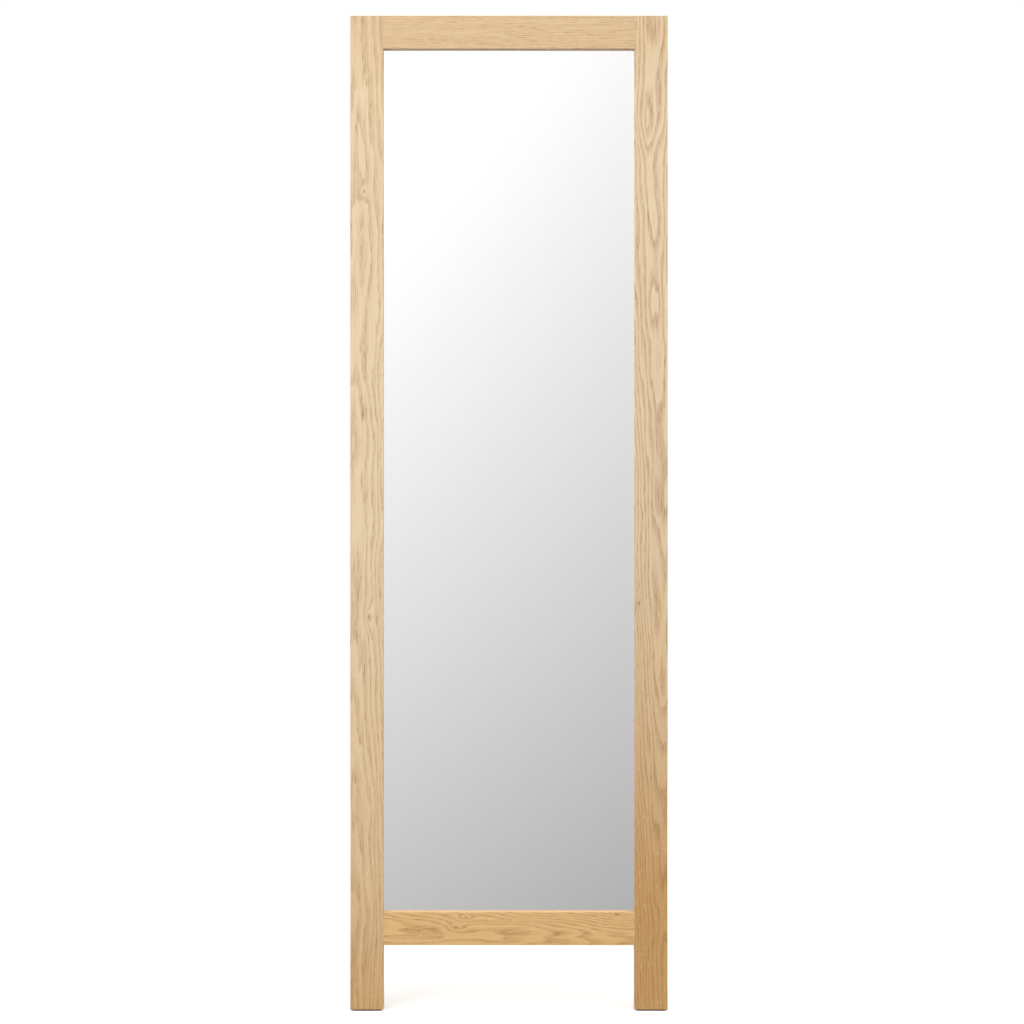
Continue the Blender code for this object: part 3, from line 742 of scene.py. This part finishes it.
class MakeBacking(bpy.types.Operator):
    """Make the backing board and dress what lies hidden under it"""

    bl_idname = "floor_mirror.backing"
    bl_label = "Backing"

    def execute(self, context):
        low, high = box_on(FRONT, "backing_board")
        board = settle(block("hardboard_backing_board", low, high, FRONT), 0.5 * MM, 2)
        place_piece(board, "mirror_frame", finish("hardboard"), ["backing_board"])
        for where in ("left", "right", "top", "bottom"):
            node = "foam_strip_" + where
            low, high = box_on(FRONT, node)
            strip = settle(block("soft_" + node, low, high, FRONT), 1.5 * MM, 3)
            place_piece(strip, "mirror_frame", finish("polyethylene foam"), [node])
        for rail in ("top", "bottom"):
            for name, _ in SIDES:
                node = f"loose_tenon_{rail}_{name}"
                low, high = box_on(FRONT, node)
                tenon = block("beech_" + node, low, high, FRONT, 0, 0.49 * (high.y - low.y))
                settle(tenon, 0.5 * MM, 2)
                place_piece(tenon, "mirror_frame", finish("steamed beech"), [node])
        return {"FINISHED"}


def leaf_outline(inner, radius, drop, towards):
    """A hinge leaf rolled into a barrel round its axis, seen from the side."""
    meets = 2 * pi - acos(inner / radius)
    turns = [meets * step / ROUND_STEPS for step in range(ROUND_STEPS + 1)]
    outline = [(inner, -drop), (radius, -drop)]
    outline += [(radius * cos(turn), radius * sin(turn)) for turn in turns]
    return [(towards * y, z) for y, z in outline]


class MakeHinges(bpy.types.Operator):
    """Make the two butt hinges between the mirror frame and the stand"""

    bl_idname = "floor_mirror.hinges"
    bl_label = "Hinges"

    def execute(self, context):
        sizes = context.scene.floor_mirror_sizes
        axis = joint_at("stand_fold")
        brass = finish("brass plated steel")
        for name, _ in SIDES:
            pin_low, pin_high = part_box("hinge_pin_" + name)
            pin_radius = (pin_high.z - pin_low.z) / 2
            leaves = {}
            for where, bench, towards in (("front", FRONT, -1), ("rear", REAR, 1)):
                node = f"hinge_leaf_{where}_{name}"
                low, high = box_on(bench, node)
                centre = bench.inverted() @ axis
                radius = abs((low.y if towards < 0 else high.y) - centre.y)
                outline = leaf_outline(radius - LEAF, radius, centre.z - low.z, towards)
                place = Matrix.Translation(axis) @ bench
                leaf = extruded("brass_" + node, outline, low.x, high.x, place)
                leaves[where] = leaf, place, radius + HINGE_GAP
            middle = (low.x + high.x) / 2
            half = (high.x - low.x) / 2
            open_to = KNUCKLE + HINGE_GAP
            for where, body, windows in (
                ("front", "mirror_frame", [(-open_to, open_to)]),
                ("rear", "rear_frame", [(-half - MM, -KNUCKLE), (KNUCKLE, half + MM)]),
            ):
                leaf, place, clear = leaves[where]
                tools = [
                    block("window", (middle + a, -clear, -clear), (middle + b, clear, clear), place)
                    for a, b in windows
                ]
                wide = pin_radius + PIN_GAP
                bore = [(0, -half - MM), (wide, -half - MM), (wide, half + MM), (0, half + MM)]
                tools.append(turned("bore", bore, aimed(Vector((middle, *axis.yz)), (1, 0, 0))))
                boolean(leaf, tools, "DIFFERENCE")
                settle(leaf, sizes.metal_edge, 2, 40)
                place_piece(leaf, body, brass, [f"hinge_leaf_{where}_{name}"])
            long = pin_high.x - pin_low.x
            outline = [(0, 0), (0.8 * pin_radius, 0), (pin_radius, 0.2 * MM)]
            outline += [(pin_radius, long - 0.2 * MM), (0.8 * pin_radius, long), (0, long)]
            start = Vector((pin_low.x, *axis.yz))
            pin = settle(turned("brass_hinge_pin_" + name, outline, aimed(start, (1, 0, 0))))
            place_piece(pin, "mirror_frame", brass, ["hinge_pin_" + name])
        return {"FINISHED"}


def arm(node, pivot, elbow, thick):
    """A strip of steel with round ends, a hole at its pivot and one at its elbow."""
    low, high = thick
    along = elbow - pivot
    place = Matrix.Translation((0, *pivot.yz)) @ Matrix.Rotation(atan2(along.z, along.y), 4, "X")
    ends = (low, -ARM_HALF, -ARM_HALF), (high, along.length + ARM_HALF, ARM_HALF)
    strip = block("zinc_" + node, *ends, place, 0, 0.98 * ARM_HALF, 12)
    tools = []
    for spot in (pivot, elbow):
        hole = [(0, -MM), (HOLE, -MM), (HOLE, high - low + MM), (0, high - low + MM)]
        tools.append(turned("hole", hole, aimed((low, spot.y, spot.z), (1, 0, 0))))
    boolean(strip, tools, "DIFFERENCE")
    settle(strip, bpy.context.scene.floor_mirror_sizes.metal_edge, 2, 40)
    return place_piece(strip, node, finish("zinc plated steel"), [node])


def rivet(name, at, side, stations, body, nodes):
    """A turned rivet across the object. Stations are (radius, distance from the middle) pairs that
    run outwards."""
    place = aimed(Vector((0, at.y, at.z)), (side, 0, 0))
    piece = settle(turned(name, stations, place))
    return place_piece(piece, body, finish("zinc plated steel"), nodes)


class MakeStays(bpy.types.Operator):
    """Make the folding stays, their brackets and rivets"""

    bl_idname = "floor_mirror.stays"
    bl_label = "Folding Stays"

    def execute(self, context):
        sizes = context.scene.floor_mirror_sizes
        zinc = finish("zinc plated steel")
        for name, side in SIDES:
            front = joint_at("stay_front_turn_" + name)
            rear = joint_at("stay_rear_turn_" + name)
            rivet_low, rivet_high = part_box("stay_elbow_rivet_" + name)
            elbow = (rivet_low + rivet_high) / 2
            for where, pivot in (("front", front), ("rear", rear)):
                node = f"stay_{where}_arm_{name}"
                low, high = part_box(node)
                if where == "rear":
                    # The formed rivet head stands out of this arm, so its sheet is thinner.
                    low.x, high.x = sorted((side * REAR_SHEET[0], side * REAR_SHEET[1]))
                arm(node, pivot, elbow, (low.x, high.x))
            bracket = "stay_bracket_" + name
            piece = softened("zinc_" + bracket, bracket, sizes.metal_edge)
            place_piece(piece, "mirror_frame", zinc, [bracket])
            self.make_rivets(name, side, front, elbow, rear)
        return {"FINISHED"}

    def make_rivets(self, name, side, front, elbow, rear):
        """The rivets at the pivot and elbow, and the shoulder screw in the leg."""
        shank, head, thick = RIVET.values()
        sheet, back = REAR_SHEET
        for node, at, body in (
            ("stay_pivot_rivet_" + name, front, "mirror_frame"),
            ("stay_elbow_rivet_" + name, elbow, "stay_front_arm_" + name),
            ("stay_leg_screw_" + name, rear, "rear_frame"),
        ):
            low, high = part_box(node)
            near, far = sorted((abs(low.x), abs(high.x)))
            stations = [(0, near - 0.1 * MM), (0.55 * head, near), (0.9 * head, near + 0.35 * MM)]
            stations += [(head, near + 0.6 * MM), (head, near + thick), (shank, near + thick)]
            if node.startswith("stay_leg"):
                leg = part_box("rear_leg_right")[0].x
                collar = back + GAP
                stations += [(shank, collar), (head, collar), (head, leg), (shank, leg), (shank, far)]
                stations += [(0, far)]
            else:
                stations += [(shank, far - thick), (head, far - thick), (head, far), (0, far)]
            rivet("zinc_" + node, at, side, stations, body, [node])
        cap = [(0, sheet), (HOLE, sheet), (HOLE, back), (head, back), (head, back + 0.4 * MM)]
        cap += [(0.8 * head, back + 0.8 * MM), (0, back + 0.95 * MM)]
        rivet("zinc_stay_elbow_cap_" + name, elbow, side, cap, "stay_rear_arm_" + name, [])


def softened(name, node, edge):
    """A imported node's shape with its edges softened."""
    bm = bmesh.new()
    bm.from_mesh(NODES[node].data)
    bmesh.ops.remove_doubles(bm, verts=bm.verts, dist=0.000005)
    bmesh.ops.dissolve_limit(bm, angle_limit=radians(1), verts=bm.verts, edges=bm.edges)
    return settle(to_object(name, bm), edge, 2, 40)


class MakeScrews(bpy.types.Operator):
    """Make all the wood screws with their cross recesses"""

    bl_idname = "floor_mirror.screws"
    bl_label = "Screws"

    def execute(self, context):
        sizes = context.scene.floor_mirror_sizes
        zinc = finish("zinc plated steel")
        brass = finish("brass plated steel")
        backwards = FRONT @ Vector((0, 1, 0))
        stand_front = REAR @ Vector((0, -1, 0))
        pan = {"Head Radius": 3 * MM, "Head Height": 1.8 * MM, "Shank Length": 11 * MM}
        sunk = {"Head Radius": 2.8 * MM, "Head Height": 1.4 * MM, "Shank Length": 12 * MM}
        common = {"Shank Radius": 1.3 * MM, "Recess Width": sizes.recess, "Seed": sizes.screw_seed}
        raised = screw_tree("pan head screws", zinc, True)
        flush = screw_tree("countersunk screws", zinc, False)
        brass_flush = screw_tree("brass countersunk screws", brass, False)
        on_frame = (backwards, FRONT, "mirror_frame")
        on_stand = (stand_front, REAR, "rear_frame")
        for name, tree, shape, (towards, bench, body), slot, start in (
            ("zinc_backing", raised, pan, on_frame, "zinc_screws", "backing"),
            ("zinc_bracket", flush, sunk, on_frame, "zinc_screws", "stay_bracket"),
            ("brass_front_hinge", brass_flush, sunk, on_frame, "brass_plated_steel", "hinge_screw_front"),
            ("brass_rear_hinge", brass_flush, sunk, on_stand, "brass_plated_steel", "hinge_screw_rear"),
        ):
            nodes = sorted(node for node in NODES if "_screw" in node and node.startswith(start))
            # A pan head stands on the board, and a countersunk one lies flush with the steel.
            seat = shape["Head Height"] if shape is pan else 0.0
            spots = []
            for node in nodes:
                low, high = box_on(bench, node)
                top = high.y - seat if bench is FRONT else low.y
                middle = (low + high) / 2
                spots.append((bench @ Vector((middle.x, top, middle.z)), towards))
            screws(name + "_screws", spots, tree, {**shape, **common}, body, nodes)
        return {"FINISHED"}


class MakePads(bpy.types.Operator):
    """Make the felt pads under the four feet"""

    bl_idname = "floor_mirror.pads"
    bl_label = "Felt Pads"

    def execute(self, context):
        for where, body in (("front", "mirror_frame"), ("rear", "rear_frame")):
            for name, _ in SIDES:
                node = f"{where}_foot_pad_{name}"
                low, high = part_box(node)
                pad = settle(block("felt_" + node, low, high, None, 2, 3 * MM, 6), 0.5 * MM, 2, 40)
                place_piece(pad, body, finish("wool felt"), [node])
        return {"FINISHED"}


# The studio. Each lamp: name, place, size, watts and the point that it is aimed at.
LAMPS = (
    ("key softbox", (-2.3, -3.4, 1.9), 2.2, 57, (0, 0, 0.6)),
    ("top softbox", (0.2, -0.25, 4.6), 1.4, 145, (0, 0, 0)),
)
FLOOR_GLOW = 0.3  # of a floor lit from below, which softens the shadows
FLOOR_RADIUS = 2.3
CAMERA_AWAY = 4.0  # from the mirror's face
LENS = 93.0  # millimetres
SHIFT = 0.003
RISE = 0.9 * MM  # of the camera over the middle of the stiles
CARD_AWAY = 3.0
CARD_HALF = (0.65, 1.7)  # half its width and height
CARD_LOW = (-1.05, 0.548)  # height on the card, and its light there
CARD_HIGH = (1.2, 1.17)
CARD_SLANT = 0.095


class MakeStage(bpy.types.Operator):
    """Make the studio: a pale floor, soft lights, a gradient card and the camera"""

    bl_idname = "floor_mirror.stage"
    bl_label = "Studio"

    def execute(self, context):
        scene = context.scene
        for name, place, size, power, aim in LAMPS:
            light = bpy.data.lights.new(name, "AREA")
            light.size = size
            light.energy = power
            lamp = bpy.data.objects.new(name, light)
            lamp.matrix_world = aimed(Vector(place), Vector(place) - Vector(aim))
            scene.collection.objects.link(lamp)
        scene.world = bpy.data.worlds.new("white room")
        scene.world.use_nodes = True
        self.make_room(scene.world.node_tree)
        self.make_floor(context)
        low, high = box_on(FRONT, "stile_left")
        middle = FRONT @ Vector((0, low.y, (low.z + high.z) / 2 + RISE))
        self.make_card(middle)
        self.make_camera(scene, middle)
        scene.view_settings.view_transform = "Standard"
        return {"FINISHED"}

    def make_room(self, tree):
        """White all round, and dark straight down, so that undersides read as such."""
        way = add(tree, "ShaderNodeTexCoord").outputs["Generated"]
        level = add(tree, "ShaderNodeSeparateXYZ", (way,)).outputs["Z"]
        light = add(tree, RAMP, (level, -0.62, -0.42), interpolation_type="SMOOTHSTEP")
        plug(tree, tree.nodes["Background"], {"Color": light})

    def make_floor(self, context):
        """A round sheet that fades out towards its rim, so that it has no edge."""
        bm = bmesh.new()
        bmesh.ops.create_circle(bm, cap_ends=True, segments=96, radius=FLOOR_RADIUS)
        floor = to_object("studio_floor", bm)
        material, tree, shader, place = new_material("pale studio floor")
        far = add(tree, VECTOR, (place,), operation="LENGTH")
        inputs = (far, 1.3, FLOOR_RADIUS - 0.05, 1, 0)
        fade = add(tree, RAMP, inputs, interpolation_type="SMOOTHSTEP")
        glow = {"Emission Color": (1, 1, 1, 1), "Emission Strength": FLOOR_GLOW}
        colour = (*context.scene.floor_mirror_colours.floor, 1)
        plug(tree, shader, {"Base Color": colour, "Roughness": 0.7, "Alpha": fade, **glow})
        floor.data.materials.append(material)
        floor.visible_diffuse = False

    def make_card(self, middle):
        """A card that shows only in reflections, parallel to the glass and in front of it. It is
        grey low down and to the right, and fades out towards its rim."""
        bm = bmesh.new()
        bmesh.ops.create_grid(bm, x_segments=1, y_segments=1, size=1)
        bmesh.ops.scale(bm, vec=(*CARD_HALF, 1), verts=bm.verts)
        card = to_object("studio_card", bm)
        stand_up = Matrix.Rotation(pi / 2, 4, "X")
        card.matrix_world = Matrix.Translation(middle - FRONT @ Vector((0, CARD_AWAY, 0))) @ FRONT @ stand_up
        material = bpy.data.materials.new("gradient card")
        material.use_nodes = True
        tree = material.node_tree
        tree.nodes.clear()
        node = partial(add, tree)
        part = node("ShaderNodeSeparateXYZ", (node("ShaderNodeTexCoord").outputs["Object"],)).outputs
        rise = node(RAMP, (part["Y"], CARD_LOW[0], CARD_HIGH[0], CARD_LOW[1], CARD_HIGH[1]))
        slant = node(RAMP, (part["X"], -0.3, 0.3, 1 + CARD_SLANT, 1 - CARD_SLANT))
        light = node(MATH, (rise, slant), operation="MULTIPLY")
        shown = node("ShaderNodeEmission", {"Color": node("ShaderNodeCombineXYZ", (light,) * 3)})
        cover = []
        for axis, start, end in (("X", 0.36, 0.62), ("Y", 1.25, 1.65)):
            off = node(MATH, (part[axis],), operation="ABSOLUTE")
            cover.append(node(RAMP, (off, start, end, 1, 0), interpolation_type="SMOOTHSTEP"))
        cover = node(MATH, cover, operation="MULTIPLY")
        surface = node("ShaderNodeMixShader", (cover, node("ShaderNodeBsdfTransparent"), shown))
        node("ShaderNodeOutputMaterial", {"Surface": surface})
        card.data.materials.append(material)
        card.visible_camera = card.visible_diffuse = card.visible_shadow = False
        card.visible_transmission = card.visible_volume_scatter = False

    def make_camera(self, scene, middle):
        """The camera looks square at the mirror, from above by as much as the mirror leans."""
        camera = bpy.data.cameras.new("camera")
        camera.lens = LENS
        camera.sensor_width = 36.0
        camera.shift_x = SHIFT
        made = bpy.data.objects.new("camera", camera)
        made.location = middle - FRONT @ Vector((0, CAMERA_AWAY, 0))
        made.rotation_euler = (pi / 2 - LEAN, 0, 0)
        scene.collection.objects.link(made)
        scene.camera = made


OPERATORS = (
    MakeFrameBoards,
    MakeGlass,
    MakeBacking,
    MakeRearStand,
    MakeHinges,
    MakeStays,
    MakeScrews,
    MakePads,
    MakeStage,
)


class FloorMirrorPanel(bpy.types.Panel):
    """The sizes, the colours and a button for each group of pieces"""

    bl_idname = "VIEW3D_PT_floor_mirror"
    bl_label = "Floor Mirror"
    bl_space_type = "VIEW_3D"
    bl_region_type = "UI"
    bl_category = "Floor Mirror"

    def draw(self, context):
        for group in (context.scene.floor_mirror_sizes, context.scene.floor_mirror_colours):
            for name in group.__annotations__:
                self.layout.prop(group, name)
        for operator in OPERATORS:
            self.layout.operator(operator.bl_idname)


CLASSES = (FloorMirrorSizes, FloorMirrorColours, *OPERATORS, FloorMirrorPanel)


def register():
    for item in CLASSES:
        bpy.utils.register_class(item)
    bpy.types.Scene.floor_mirror_sizes = PointerProperty(type=FloorMirrorSizes)
    bpy.types.Scene.floor_mirror_colours = PointerProperty(type=FloorMirrorColours)


def unregister():
    del bpy.types.Scene.floor_mirror_colours
    del bpy.types.Scene.floor_mirror_sizes
    for item in reversed(CLASSES):
        bpy.utils.unregister_class(item)


def main():
    register()
    for operator in OPERATORS:
        group, name = operator.bl_idname.split(".")
        getattr(getattr(bpy.ops, group), name)()


if __name__ == "__main__":
    main()
